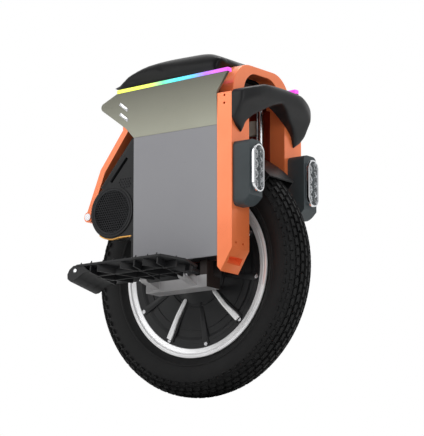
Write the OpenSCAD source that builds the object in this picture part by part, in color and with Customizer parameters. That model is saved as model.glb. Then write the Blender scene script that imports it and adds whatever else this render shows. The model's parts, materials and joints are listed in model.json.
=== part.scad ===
// Electric unicycle with a sprung wheel, fold-down pedals and a swing-out pull handle.
// X is forward, Y is to the left, Z is up. The origin is on the ground under the axle.

/* [Wheel] */
// Outer diameter of the tyre
tyre_d = 508; // [440:2:610]
// Width of the tyre
tyre_w = 76; // [62:1:84]
// Outer radius of the rim lips
lip_r = 176; // [160:1:190]
// Half width of the motor hub at its centre
hub_half_w = 44; // [40:1:53]
// Diameter of the axle
axle_d = 22; // [18:0.5:27]

/* [Suspension] */
// How far the wheel travels up
travel = 90; // [60:1:110]
// Diameter of the guide rails
rail_d = 16; // [12:0.5:20]
// Diameter of the shock rods
rod_d = 12; // [9:0.5:15]
// Outer diameter of the shock bodies
shock_d = 24; // [20:0.5:26]

/* [Frame] */
// Width over the two uprights
body_w = 245; // [225:1:294]
// Distance from the axle forward to the front face of the uprights
upright_front = 158; // [146:1:190]
// Depth of an upright from front to back
upright_depth = 36; // [28:1:44]
// Width of an upright across the body
upright_w = 60; // [48:1:64]
// Height of the front arch over the uprights
arch_rise = 71; // [60:1:84]
// Thickness of the inner plates
inner_t = 3; // [2:0.5:4]
// Thickness of the top deck
deck_t = 4; // [3:0.5:5]
// Thickness of the axle plates
plate_t = 6; // [5:0.5:8]

/* [Panels] */
// Distance from the axle back to the rear edge of the side panels
panel_rear = 89; // [84:1:98]
// Thickness of the side panels and covers
panel_t = 3.6; // [2.5:0.1:5]
// How far the covers flare out at the top
cover_flare = 3.5; // [1:0.5:6]
// Height of the light strips
strip_h = 8; // [5:0.5:9]
// Height of the padded top over its base
seat_rise = 56; // [48:1:74]

/* [Lamps and speakers] */
// Width of a headlamp bezel
lamp_w = 35; // [28:1:42]
// Height of a headlamp bezel
lamp_h = 98; // [80:1:112]
// Radius of a speaker pod
pod_r = 56; // [50:1:62]
// Radius of a speaker grille
grille_r = 48; // [40:1:49]

/* [Pedals] */
// Length of a pedal from front to rear
pedal_l = 262; // [220:1:300]
// Reach of a pedal out from its hinge
pedal_reach = 102; // [85:1:122]
// Thickness of a pedal
pedal_t = 22; // [18:0.5:26]
// Upward tilt of a lowered pedal
pedal_tilt = 10; // [6:0.5:12]
// Diameter of the pedal hinge pins
pin_d = 10; // [8:0.5:12]

/* [Pull handle] */
// Width of a handle arm across the body
arm_w = 28; // [22:1:30]
// Thickness of a handle arm
arm_t = 13; // [10:0.5:16]
// Diameter of the handle grip
grip_d = 22; // [18:0.5:24]

/* [Fits] */
// Radial clearance of a running fit
fit = 0.05; // [0.02:0.01:0.08]
// Gap between a soft or loose piece and its seat
seat_gap = 0.3; // [0.2:0.05:0.5]

/* [Hidden] */
$fn = 96;
hull_fn = 32;
axle_z = tyre_d / 2;
axle_r = axle_d / 2;
body_half = body_w / 2;
fender_t = 3;
fender_r = axle_z + 8;
// Underside of the top deck, clear of the fender at full travel
deck_z = axle_z + travel + fender_r + 16;
deck_top = deck_z + deck_t;
upright_rear = upright_front - upright_depth;
upright_in = body_half - upright_w;
upright_foot = axle_z - 24;
upright_top = deck_z - 29;
panel_bottom = axle_z + 8;
panel_split = deck_z - 93;
panel_in = body_half - panel_t;
strip_rear = -(panel_rear + 42);
strip_front = upright_front - 7;
cover_top_rear = deck_top;
cover_top_front = deck_top + 9;
base_top = deck_top + 14;
seat_bottom = base_top + seat_gap;
base_rear = 112;
base_front = upright_rear - 12;
// Layers across the body, from the wheel out
plate_in = hub_half_w + 2;
plate_out = plate_in + plate_t;
slide_r = 12;
slide_y = plate_out + slide_r + 1;
inner_y = max(slide_y + slide_r + 1, upright_in + inner_t);
box_in = inner_y + inner_t;
rail_r = rail_d / 2;
front_rail = upright_rear - 26;
rear_rail = -(panel_rear - 9);
rail_spots = [[front_rail, 1], [front_rail, -1], [rear_rail, 1], [rear_rail, -1]];
bush_h = 36;
bush_z = axle_z + 50;
clamp_h = 16;
clamp_half = 14;
rail_top = deck_z - 6;
// Shocks
lug_z = axle_z + 40;
lug_h = 18;
gland_z = lug_z + lug_h + travel + 18;
shock_top = deck_z - 32;
piston_z = gland_z + 26;
piston_h = 10;
piston_r = shock_d / 2 - 2;
// Wheel
cover_y = 22;
lip_in = lip_r - 19;
barrel_r = lip_in - 7;
bearing_r = axle_r + 10;
spoke_count = 5;
spoke_turn = 27;
bolt_count = 10;
bolt_ring = barrel_r + 1;
nut_t = 13;
// Battery boxes
box_wall = 3;
box_top = upright_top - 1;
pack_gap = 0.5;
pack_space = 9;
// Lamps
lamp_z = deck_z - 188;
lamp_y = body_half - 26.5;
housing_d = 40;
housing_h = 132;
housing_z = deck_z - 262;
bezel_d = 10;
// Speakers and cowl
pod_x = -(panel_rear + 56.5);
pod_z = deck_z - 240;
pod_in = inner_y - 22;
pod_out = body_half - 1.5;
// Pull handle, its arms bent twice in side view
boss_r = 11;
pivot_gap = 13;
pivot_x = pod_x - pod_r - boss_r - pivot_gap;
pivot_z = pod_z + 1;
pivot_bolt_r = 4;
arm_in = inner_y - 8;
handle_route = [[pivot_x, pivot_z], [pivot_x + 37, pivot_z + 92],
    [pivot_x + 96, pivot_z + 170], [pivot_x + 96, pivot_z + 213]];
// Pedals
hinge_y = body_half + 13.5;
hinge_z = axle_z - 24;
pin_r = pin_d / 2;
knuckle_r = pin_r + 4.5;
pedal_top = 8;
pedal_mid_x = -31;
hanger_arms = [-46, 48];
hanger_arm_w = 16;
stud_h = 2.5;
// Left cover fittings
button_x = 92;
button_r = 9;
button_travel = 2.5;
port_x = 48;
port_r = 11;
fitting_z = deck_z - 46;

// Placing helpers

// Keeps children on the left for 1 and mirrors them to the right for -1
module on_side(side) {
    mirror([0, side > 0 ? 0 : 1, 0]) children();
}

module both_sides() {
    on_side(1) children();
    on_side(-1) children();
}

// Extrudes a side view, drawn as X and Z, from one Y to another
module along_y(from, to) {
    translate([0, to, 0]) rotate([90, 0, 0]) linear_extrude(to - from) children();
}

// Extrudes a front view, drawn as Y and Z, from one X to another
module along_x(from, to) {
    translate([from, 0, 0]) rotate([90, 0, 90]) linear_extrude(to - from) children();
}

// A block from its lowest corner to its highest
module block(low, high) {
    translate(low) cube(high - low);
}

// A round bar along Y
module bar_y(x, z, from, to, r) {
    translate([x, from, z]) rotate([-90, 0, 0]) cylinder(r = r, h = to - from);
}

// A round bar along X
module bar_x(y, z, from, to, r) {
    translate([from, y, z]) rotate([0, 90, 0]) cylinder(r = r, h = to - from);
}

// Spins a profile, drawn as radius and Y, about a line along Y
module spin_y(x = 0, z = axle_z) {
    translate([x, 0, z]) rotate([-90, 0, 0]) rotate_extrude($fn = 180) children();
}

// A strap between two points of a side view, with square ends
module strap(a, b, w) {
    translate(a) rotate(atan2(b[1] - a[1], b[0] - a[0])) translate([0, -w / 2])
        square([norm(b - a), w]);
}

function unit(v) = v / norm(v);

// Offset of a route's point to one side, mitred between its two legs
function beside(route, i, d) =
    let (before = unit(route[max(i, 1)] - route[max(i, 1) - 1]),
        after = unit(route[min(i, len(route) - 2) + 1] - route[min(i, len(route) - 2)]),
        middle = unit(before + after))
    route[i] + d / (middle * after) * [-middle[1], middle[0]];

// A strap of constant width that follows a route in side view
module bent_strap(route, w) {
    last = len(route) - 1;
    polygon([for (i = [0:last]) beside(route, i, w / 2), for (i = [last:-1:0]) beside(route, i, -w / 2)]);
}

// A strap with round ends
module bar_shape(a, b, w) {
    strap(a, b, w);
    translate(a) circle(w / 2);
    translate(b) circle(w / 2);
}

// A slot shape standing upright, centred
module stadium(w, h) {
    square([w, h - w], center = true);
    for (s = [-1, 1])
        translate([0, s * (h - w) / 2]) circle(w / 2);
}

// A rectangle with round corners from its lowest corner
module round_rect(low, high, r) {
    translate([low[0] + r, low[1]]) square([high[0] - low[0] - 2 * r, high[1] - low[1]]);
    translate([low[0], low[1] + r]) square([high[0] - low[0], high[1] - low[1] - 2 * r]);
    for (x = [low[0] + r, high[0] - r], y = [low[1] + r, high[1] - r])
        translate([x, y]) circle(r);
}

// Frame

hole_r = 2.5;
hole_depth = 12;
top_hole_pitch = 16;
foot_hole_pitch = 24;
foot_chamfer = 45;

module upright() {
    color("#d9622b") difference() {
        along_y(upright_in, body_half)
            polygon([[upright_rear, upright_foot + 10], [upright_rear + 9, upright_foot],
                [upright_front - 28, upright_foot], [upright_front, upright_foot + foot_chamfer],
                [upright_front, upright_top], [upright_rear, upright_top]]);
        // Channel behind, closed at both ends
        block([upright_rear - 1, box_in + 3, upright_foot + 70],
            [upright_front - 6, body_half - 6, upright_top - 33]);
        // Pocket in the sloped foot
        translate([upright_front - 14, (upright_in + body_half) / 2, upright_foot + foot_chamfer / 2])
            rotate([0, 58, 0])
                cube([32, upright_w - 16, 14], center = true);
        for (dz = [6, 6 + top_hole_pitch])
            bar_y(upright_front - 18, upright_top - dz, body_half - hole_depth, body_half + 1, hole_r);
        for (y = [-1, 1])
            bar_x(lamp_y + y * foot_hole_pitch / 2, upright_foot + 56,
                upright_front - hole_depth, upright_front + 1, hole_r);
    }
}

arch_half = body_half - 22.5;
arch_in = body_half - 60;
arch_top = upright_top + arch_rise;
arch_rear = upright_rear - 10;
arch_corner = 60;

// Round-cornered arch in front view, from a level up to its top
module arch_shape(half, low, top, corner) {
    quarter = [0:6:90];
    polygon([[half, low],
        for (a = quarter) [half - corner + corner * cos(a), top - corner + corner * sin(a)],
        for (a = quarter) [corner - half - corner * sin(a), top - corner + corner * cos(a)],
        [-half, low]]);
}

module front_arch() {
    color("#e0743c") difference() {
        along_x(arch_rear, upright_front - 12)
            arch_shape(arch_half, upright_top, arch_top, arch_corner);
        along_x(arch_rear - 1, upright_front - 11)
            arch_shape(arch_in, upright_top - 1, arch_top - 16, arch_corner - 17);
    }
}

module inner_plate() {
    color("#a8321c") along_y(inner_y, inner_y + inner_t)
        polygon([[-panel_rear - 3, panel_bottom + 40], [-panel_rear + 20, panel_bottom],
            [upright_rear, panel_bottom], [upright_rear, upright_top],
            [arch_rear - 0.5, upright_top], [arch_rear - 0.5, deck_z], [-panel_rear - 3, deck_z]]);
}

module top_deck() {
    color("#3a3c3f") block([-base_rear + 2, -panel_in, deck_z], [base_front, panel_in, deck_top]);
}

module guide_rails() {
    color("#b9bcc0") for (spot = rail_spots)
        translate([spot[0], spot[1] * slide_y, panel_bottom])
            cylinder(r = rail_r, h = rail_top - panel_bottom);
}

module rail_clamps() {
    color("#2b2c2e") for (spot = rail_spots, z = [panel_bottom, rail_top - clamp_h])
        on_side(spot[1]) difference() {
            block([spot[0] - clamp_half, plate_out + 3, z],
                [spot[0] + clamp_half, inner_y, z + clamp_h]);
            translate([spot[0], slide_y, z - 1]) cylinder(r = rail_r + fit, h = clamp_h + 2);
        }
}

beam_in = plate_out + 4;
beam_out = body_half - 22.5;
beam_rear = -73;
beam_front = 81;
beam_h = 24;
beam_top = hinge_z + 1;

module pedal_hanger() {
    color("#a9abaf") difference() {
        union() {
            block([beam_rear, beam_in, beam_top - beam_h], [beam_front, beam_out, beam_top]);
            for (x = [beam_rear, beam_front - 18])
                block([x, inner_y, beam_top], [x + 18, beam_out, panel_bottom]);
            for (x = hanger_arms)
                along_x(x - hanger_arm_w / 2, x + hanger_arm_w / 2) {
                    polygon([[beam_out - 4, beam_top - beam_h + 3], [beam_out - 4, beam_top - 2],
                        [hinge_y, hinge_z + knuckle_r - 0.6], [hinge_y, hinge_z - knuckle_r + 0.6]]);
                    translate([hinge_y, hinge_z]) circle(knuckle_r);
                }
        }
        bar_x(hinge_y, hinge_z, beam_rear, beam_front, pin_r + fit);
    }
}

module pedal_pins() {
    color("#c4c6c9") both_sides() {
        low = hanger_arms[0] - hanger_arm_w / 2 - 5;
        high = hanger_arms[1] + hanger_arm_w / 2 + 5;
        bar_x(hinge_y, hinge_z, low, high, pin_r);
    }
}

// Side panels, batteries and covers

module side_panel() {
    color("#8f9094") along_y(panel_in, body_half)
        translate([-panel_rear, panel_bottom])
            square([upright_rear + panel_rear, panel_split - panel_bottom]);
}

module battery_box() {
    color("#303234") difference() {
        block([-panel_rear, box_in, panel_bottom], [upright_rear, panel_in, box_top]);
        block([-panel_rear + box_wall, box_in + box_wall, panel_bottom + box_wall],
            [upright_rear - box_wall, panel_in + 1, box_top - box_wall]);
    }
}

module battery_packs() {
    inside = panel_bottom + box_wall;
    half_h = (box_top - box_wall - inside) / 2;
    color("#2f5f8f") both_sides() for (level = [0, 1])
        block([-panel_rear + box_wall + pack_gap, box_in + box_wall + pack_gap,
                inside + level * half_h],
            [upright_rear - box_wall - pack_gap, panel_in - pack_space,
                inside + (level + 1) * half_h - pack_gap]);
}

tail_x = -(panel_rear + 74);
tail_z = deck_z - 20;
tail_r = 9;

module upper_cover_shape() {
    polygon([[upright_rear, panel_split], [-panel_rear, panel_split],
        [-panel_rear - 20, panel_split + 22],
        for (a = [232:-12:124]) [tail_x + tail_r * cos(a), tail_z + tail_r * sin(a)],
        [strip_rear, cover_top_rear], [strip_front, cover_top_front],
        [strip_front - 7, cover_top_front - 9], [upright_rear, upright_top + 2]]);
}

module upper_cover(side) {
    color("#84847a") difference() {
        intersection() {
            along_y(panel_in, body_half + 10) upper_cover_shape();
            along_x(tail_x - 20, upright_front)
                polygon([[panel_in, panel_split - 1], [body_half, panel_split - 1],
                    [body_half, panel_split], [body_half + cover_flare, cover_top_front],
                    [panel_in, cover_top_front]]);
        }
        if (side > 0) {
            bar_y(button_x, fitting_z, panel_in - 1, body_half + 10, button_r + fit);
            bar_y(port_x, fitting_z, panel_in - 1, body_half + 10, port_r + fit);
        }
    }
}

module light_strips() {
    color("#e8e04a") both_sides() along_y(panel_in - 7, body_half + cover_flare)
        polygon([[strip_rear, cover_top_rear], [strip_front, cover_top_front],
            [strip_front, cover_top_front + strip_h], [strip_rear, cover_top_rear + strip_h]]);
}

controller_rear = -80;
controller_front = 95;
controller_half = 75;
controller_top = deck_top + 38;
pad_front = arch_rear - 0.5;
seat_half = panel_in - 7.5;

module seat_base() {
    color("#1d1e20") difference() {
        block([-base_rear, -panel_in + 8, deck_top], [base_front, panel_in - 8, base_top]);
        block([controller_rear - 1, -controller_half - 1, deck_top - 1],
            [controller_front + 1, controller_half + 1, base_top + 1]);
    }
}

// Crown of the padded top in front view, a flattened half oval
function crown_point(a) = [
    seat_half * sign(cos(a)) * pow(abs(cos(a)), 0.72),
    seat_bottom + seat_rise * pow(sin(a), 0.62)];

module seat_pad() {
    color("#141416") difference() {
        intersection() {
            along_y(-seat_half, seat_half)
                polygon([[-panel_rear - 61, seat_bottom + 3], [-panel_rear - 31, seat_bottom + 23],
                    [-77, seat_bottom + seat_rise - 16], [-33, seat_bottom + seat_rise - 7],
                    [30, seat_bottom + seat_rise], [80, seat_bottom + seat_rise - 11],
                    [pad_front + 4, seat_bottom + seat_rise - 26],
                    [pad_front + 12, arch_top + seat_gap], [pad_front, arch_top + seat_gap],
                    [pad_front, seat_bottom], [-panel_rear - 56, seat_bottom]]);
            along_x(-panel_rear - 70, upright_front)
                polygon([for (a = [0:10:180]) crown_point(a)]);
        }
        block([controller_rear - 2, -controller_half - 2, seat_bottom - 1],
            [controller_front + 2, controller_half + 2, controller_top + seat_gap]);
    }
}

fin_pitch = 12;
fin_t = 3;
fin_h = 6;

module controller_box() {
    color("#4a4d51") {
        difference() {
            block([controller_rear, -controller_half, deck_top],
                [controller_front, controller_half, controller_top]);
            for (x = [controller_rear + fin_t:fin_pitch:controller_front - fin_pitch])
                block([x, -controller_half + 5, controller_top - fin_h],
                    [x + fin_pitch - fin_t, controller_half - 5, controller_top + 1]);
        }
    }
}

module junction_box() {
    color("#8d9088") block([52, inner_y - 12, deck_z - 76], [84, inner_y, deck_z - 45]);
}

// Front

bumper_nose = 48;

// Half of the bumper's front outline, from the top middle round to the underside
half_bumper = [[0, 4], [body_half - 60, 9], [body_half - 20, 20], [body_half - 4, 25],
    [body_half, 31], [body_half, 84], [body_half - 14, 99], [body_half - 30, 110],
    [body_half - 38, 87], [body_half - 52, 73], [body_half - 70, 62], [body_half - 97, 47], [0, 37]];

module front_bumper() {
    color("#17181a") intersection() {
        along_x(upright_front, upright_front + bumper_nose + 4)
            polygon([for (p = half_bumper) [p[0], deck_z - p[1]],
                for (i = [len(half_bumper) - 2:-1:1]) [-half_bumper[i][0], deck_z - half_bumper[i][1]]]);
        // Nose curve seen from above
        translate([0, 0, deck_z - 120]) linear_extrude(140)
            polygon([for (i = [-12:12])
                    [upright_front + bumper_nose - 22 * pow(abs(i / 12), 3), i / 12 * body_half],
                [upright_front, body_half], [upright_front, -body_half]]);
        // Rake seen from the side
        along_y(-body_half, body_half)
            polygon([[upright_front, deck_z], [upright_front + bumper_nose - 8, deck_z - 6],
                [upright_front + bumper_nose, deck_z - 16], [upright_front + bumper_nose - 7, deck_z - 36],
                [upright_front + 25, deck_z - 56], [upright_front + 11, deck_z - 84],
                [upright_front + 5, deck_z - 112], [upright_front, deck_z - 112]]);
    }
}

bezel_x = upright_front + housing_d;
housing_half = lamp_w / 2 + 5;

module lamp_housing() {
    color("#49525a") difference() {
        along_x(upright_front, bezel_x) round_rect([lamp_y - housing_half, housing_z],
            [lamp_y + housing_half, housing_z + housing_h], 12);
        // Notch under the chin
        translate([bezel_x, 0, housing_z]) rotate([0, 45, 0])
            cube([26, 3 * body_half, 26], center = true);
        // Well behind the light cells
        translate([0, lamp_y, lamp_z]) along_x(bezel_x - 14, bezel_x + 1)
            stadium(lamp_w - 8, lamp_h - 8);
    }
}

module lamp_bezel() {
    color("#dfe2e5") translate([0, lamp_y, lamp_z]) difference() {
        along_x(bezel_x, bezel_x + bezel_d) stadium(lamp_w, lamp_h);
        along_x(bezel_x - 1, bezel_x + bezel_d + 1) stadium(lamp_w - 8, lamp_h - 8);
    }
}

led_count = 4;
led_pitch = (lamp_h - 24) / led_count;

module lamp_leds() {
    color("#f5f6f0") both_sides() {
        translate([0, lamp_y, lamp_z]) {
            along_x(bezel_x - 14, bezel_x - 8) stadium(lamp_w - 9, lamp_h - 9);
            for (i = [0:led_count - 1])
                translate([0, 0, (i - (led_count - 1) / 2) * led_pitch])
                    bar_x(0, 0, bezel_x - 8, bezel_x + 3, 8);
        }
    }
}

module lamp_lenses() {
    color("#d9ecf2") both_sides() {
        translate([0, lamp_y, lamp_z])
            along_x(bezel_x + bezel_d - 5, bezel_x + bezel_d - 2) stadium(lamp_w - 8, lamp_h - 8);
    }
}

// Rear

cowl_in = box_in + 3;

strip_w = 8;
trim_t = 2.5;
trim_rise = 2;

module cowl_shape() {
    polygon([[-panel_rear, panel_bottom], [-panel_rear - strip_w, panel_bottom],
        [-panel_rear - strip_w, pod_z - pod_r + trim_rise], [pod_x, pod_z - pod_r + trim_rise],
        [pod_x - pod_r + 10, pod_z + 16], [pod_x - 23.5, pod_z + 48],
        [-panel_rear - 4, panel_split - 10], [-panel_rear, panel_split - 14]]);
    translate([pod_x, pod_z]) circle(pod_r);
}

well_depth = 40;

module rear_cowl() {
    color("#3c3e41") difference() {
        union() {
            along_y(cowl_in, panel_in) cowl_shape();
            bar_y(pod_x, pod_z, pod_in, cowl_in + 1, pod_r - 5);
            bar_y(pod_x, pod_z, panel_in - 1, pod_out, pod_r - 3);
            // Lug for the pull handle
            along_y(pod_in, arm_in - seat_gap)
                bar_shape([pod_x - pod_r + 12, pivot_z], [pivot_x, pivot_z], 2 * boss_r - 2);
        }
        bar_y(pod_x, pod_z, pod_out - well_depth, pod_out + 1, grille_r + 0.5);
        bar_y(pivot_x, pivot_z, 0, body_half, pivot_bolt_r + fit);
        // Slanted slot over the pod
        along_y(panel_in - 8, panel_in + 1)
            strap([pod_x - 4.5, pod_z + 62], [pod_x + 37, pod_z + 108], 7);
    }
}

grille_t = 3;

module speaker_grilles() {
    color("#2a2b2d") both_sides() {
        bar_y(pod_x, pod_z, pod_out - grille_t, pod_out, grille_r);
        bar_y(pod_x, pod_z, pod_out - grille_t - 2, pod_out - grille_t, grille_r - 8);
    }
}

module speaker_drivers() {
    back = pod_out - well_depth;
    color("#17181a") both_sides() {
        spin_y(pod_x, pod_z)
            polygon([[0, back], [24, back], [24, back + 14], [grille_r - 6, back + 26],
                [grille_r, back + 26], [grille_r, back + 30], [grille_r - 6, back + 30],
                [14, back + 16], [0, back + 20]]);
    }
}

module pod_trims() {
    color("#c98a2b") both_sides() {
        intersection() {
            spin_y(pod_x, pod_z) translate([pod_r, panel_in - 8]) square([trim_t, 8]);
            block([pod_x - 34, 0, pod_z - pod_r - 4], [pod_x + 15.3, body_half, pod_z - pod_r / 2]);
        }
        block([pod_x + 15.5, panel_in - 8, pod_z - pod_r - trim_t + trim_rise],
            [-panel_rear - strip_w, panel_in, pod_z - pod_r + trim_rise]);
    }
}

module tail_light() {
    color("#a01010") block([-base_rear - 5, -60, deck_top + 1], [-base_rear, 60, base_top - 2]);
}

module charge_port() {
    color("#26282a") difference() {
        bar_y(port_x, fitting_z, panel_in - 4, body_half, port_r);
        bar_y(port_x, fitting_z, panel_in - 2, body_half + 1, port_r - 4);
    }
}

cap_hinge_z = fitting_z + port_r + 6;
// The cover's sloping face at the height of the cap's hinge
cap_y = body_half + cover_flare * (cap_hinge_z - panel_split) / (cover_top_front - panel_split);

module charge_cap() {
    color("#1b1c1e") union() {
        bar_y(port_x, fitting_z, cap_y + seat_gap, cap_y + 3, port_r + 2);
        block([port_x - 6, cap_y + seat_gap, fitting_z], [port_x + 6, cap_y + 3, cap_hinge_z]);
        bar_x(cap_y + 1.7, cap_hinge_z, port_x - 6, port_x + 6, 1.4);
    }
}

module power_button() {
    color("#c9cbce") union() {
        bar_y(button_x, fitting_z, panel_in - 1, body_half + cover_flare + button_travel + 1, button_r);
        bar_y(button_x, fitting_z, panel_in - 4, panel_in - seat_gap, button_r + 2);
    }
}

// Suspension

module shock_bodies() {
    color("#222326") both_sides() {
        translate([0, slide_y, 0]) {
            rotate_extrude()
                polygon([[rod_d / 2 + fit, gland_z], [shock_d / 2, gland_z],
                    [shock_d / 2, shock_top], [0, shock_top], [0, shock_top - 8],
                    [piston_r + fit, shock_top - 8], [piston_r + fit, gland_z + 20],
                    [rod_d / 2 + fit, gland_z + 20]]);
            block([-slide_r, -slide_r, shock_top], [slide_r, inner_y - slide_y, shock_top + 18]);
        }
    }
}

module shock_rods() {
    color("#d5d7da") both_sides() {
        block([-slide_r, plate_out, lug_z], [slide_r, inner_y - 2, lug_z + lug_h]);
        translate([0, slide_y, lug_z + lug_h])
            cylinder(r = rod_d / 2, h = piston_z - lug_z - lug_h);
        translate([0, slide_y, piston_z]) cylinder(r = piston_r, h = piston_h);
    }
}

module slide_bushes() {
    color("#2d2e31") for (spot = rail_spots)
        on_side(spot[1]) difference() {
            union() {
                translate([spot[0], slide_y, bush_z]) cylinder(r = slide_r, h = bush_h);
                block([spot[0] - slide_r, plate_out, bush_z],
                    [spot[0] + slide_r, slide_y, bush_z + bush_h]);
            }
            translate([spot[0], slide_y, bush_z - 1]) cylinder(r = rail_r + fit, h = bush_h + 2);
        }
}

hub_plate_r = 40;

module axle_plate() {
    color("#26272a") difference() {
        along_y(plate_in, plate_out) {
            translate([0, axle_z]) circle(hub_plate_r);
            polygon([[-hub_plate_r, axle_z], [hub_plate_r, axle_z],
                [front_rail + 14, bush_z - 6], [front_rail + 14, bush_z + bush_h + 6],
                [rear_rail - 14, bush_z + bush_h + 6], [rear_rail - 14, bush_z - 6]]);
        }
        bar_y(0, axle_z, plate_in - 1, plate_out + 1, axle_r + fit);
    }
}

axle_end = plate_out + nut_t + 7;

module axle() {
    color("#9a9da1") bar_y(0, axle_z, -axle_end, axle_end, axle_r);
}

module axle_nuts() {
    color("#c4c6c9") both_sides() {
        difference() {
            translate([0, plate_out, axle_z]) rotate([-90, 0, 0]) cylinder(r = axle_r + 8, h = nut_t, $fn = 6);
            bar_y(0, axle_z, plate_out - 1, plate_out + nut_t + 1, axle_r + fit);
        }
    }
}

fender_start = 42;
fender_end = 150;
fender_half = max(tyre_w / 2 + 3, plate_in - 5);

module fender() {
    color("#2c2d2f") {
        translate([0, 0, axle_z]) rotate([90, 0, 0]) rotate([0, 0, fender_start])
            rotate_extrude(angle = fender_end - fender_start, $fn = 180)
                polygon([[fender_r - fender_t, -fender_half], [fender_r - 20, -fender_half],
                    [fender_r - 20, -fender_half - 3], [fender_r, -fender_half - 3],
                    [fender_r, fender_half + 3], [fender_r - 20, fender_half + 3],
                    [fender_r - 20, fender_half], [fender_r - fender_t, fender_half]]);
        both_sides() for (a = [fender_start + 22, fender_end - 30])
            along_y(fender_half, plate_in)
                bar_shape(axle_spot(a, 80), axle_spot(a, fender_r - 14), 12);
    }
}

// Point at an angle and radius from the axle, in side view
function axle_spot(a, r) = [r * cos(a), axle_z + r * sin(a)];

module stator() {
    color("#8c4a24") spin_y()
        polygon([[axle_r + fit, -14], [barrel_r - 28, -14], [barrel_r - 28, 14], [axle_r + fit, 14]]);
}

// Wheel

bead_y = 22;

module tyre() {
    r = axle_z;
    w = tyre_w / 2;
    color("#1a1a1b") spin_y()
        polygon([[lip_r - 8, -bead_y], [lip_r + 3, -bead_y - 2], [lip_r + 26, -w + 2], [r - 40, -w],
            [r - 26, -w + 2], [r - 12, -w + 10], [r - 3, -w + 22], [r, 0], [r - 3, w - 22],
            [r - 12, w - 10], [r - 26, w - 2], [r - 40, w], [lip_r + 26, w - 2],
            [lip_r + 3, bead_y + 2], [lip_r - 8, bead_y], [lip_r - 8, bead_y - 5],
            [lip_r + 2, bead_y - 4], [lip_r + 26, w - 9], [r - 40, w - 8], [r - 22, w - 14],
            [r - 14, 0], [r - 22, -w + 14], [r - 40, -w + 8], [lip_r + 26, -w + 9],
            [lip_r + 2, -bead_y + 4], [lip_r - 8, -bead_y + 5]]);
}

module rim() {
    y = bead_y;
    color("#e3e5e8") spin_y()
        polygon([[barrel_r, -cover_y + 6], [barrel_r, -cover_y], [lip_in, -cover_y], [lip_in, -y - 5],
            [lip_r, -y - 4], [lip_r, -y - 2.5], [lip_r - 8.5, -y - 0.5], [lip_r - 8.5, -y + 5.5],
            [barrel_r + 10, -y + 8], [barrel_r + 10, y - 8], [lip_r - 8.5, y - 5.5],
            [lip_r - 8.5, y + 0.5], [lip_r, y + 2.5], [lip_r, y + 4], [lip_in, y + 5],
            [lip_in, cover_y], [barrel_r, cover_y], [barrel_r, cover_y - 6]]);
}

flange_t = 4;
hub_boss_r = 42;
ring_r = barrel_r - 3;

module motor_cover() {
    color("#1f2022") difference() {
        spin_y()
            polygon([[bearing_r, hub_half_w - 14], [bearing_r, hub_half_w], [hub_boss_r, hub_half_w],
                [hub_boss_r + 22, cover_y + 4], [ring_r - 14, cover_y], [ring_r - 8, cover_y + 2],
                [lip_in - 1, cover_y + 2], [lip_in - 1, cover_y], [barrel_r - 0.3, cover_y],
                [barrel_r - 0.3, cover_y - 4], [ring_r - 12, cover_y - 4], [hub_boss_r + 18, cover_y - 1],
                [hub_boss_r - 6, hub_half_w - 8], [bearing_r + 4, hub_half_w - 14]]);
        for (i = [0:bolt_count - 1])
            bolt_place(i) bar_y(0, 0, cover_y, cover_y + 3, bolt_shank_r + fit);
    }
}

bolt_shank_r = 2;
bolt_head_r = 4;

// Moves children to one of the cover bolts
module bolt_place(i) {
    a = spoke_turn + i * 360 / bolt_count;
    translate([bolt_ring * cos(a), 0, axle_z + bolt_ring * sin(a)]) children();
}

module hub_bolts() {
    color("#b9bcc0") both_sides() {
        for (i = [0:bolt_count - 1])
            bolt_place(i) {
                bar_y(0, 0, cover_y + 2, cover_y + 4.5, bolt_head_r);
                bar_y(0, 0, cover_y, cover_y + 2, bolt_shank_r);
            }
    }
}

spoke_root = hub_boss_r + 24;
spoke_tip = ring_r - 18;

module spoke_trims() {
    color("#cfd2d5") both_sides() {
        for (i = [0:spoke_count - 1])
            translate([0, 0, axle_z]) rotate([0, -(spoke_turn + i * 360 / spoke_count), 0])
                along_y(cover_y + 4.2, cover_y + 9)
                    polygon([[spoke_root, -11], [spoke_tip, -5], [spoke_tip + 6, 0], [spoke_tip, 5],
                        [spoke_root, 11]]);
    }
}

module bearings() {
    color("#aeb1b5") both_sides() {
        spin_y()
            polygon([[axle_r + fit, hub_half_w - 12], [bearing_r, hub_half_w - 12],
                [bearing_r, hub_half_w - 1], [axle_r + fit, hub_half_w - 1]]);
    }
}

// Pedals, drawn flat about the hinge and then tilted

module pedal_frame() {
    translate([0, hinge_y, hinge_z]) rotate([pedal_tilt, 0, 0]) children();
}

pedal_rear = pedal_mid_x - pedal_l / 2 - 2;
pedal_front = pedal_rear + pedal_l;
pedal_under = pedal_top - pedal_t;
edge = 8;

module pedal_plan() {
    polygon([[pedal_rear + 26, -edge], [pedal_front - 10, -edge], [pedal_front, 2],
        [pedal_front, pedal_reach * 0.55], [pedal_front - 34, pedal_reach],
        [pedal_rear + 12, pedal_reach], [pedal_rear, pedal_reach - 14], [pedal_rear, 20]]);
}

rib_pitch = 27;
rib_t = 4;
skin_t = 9;

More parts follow.
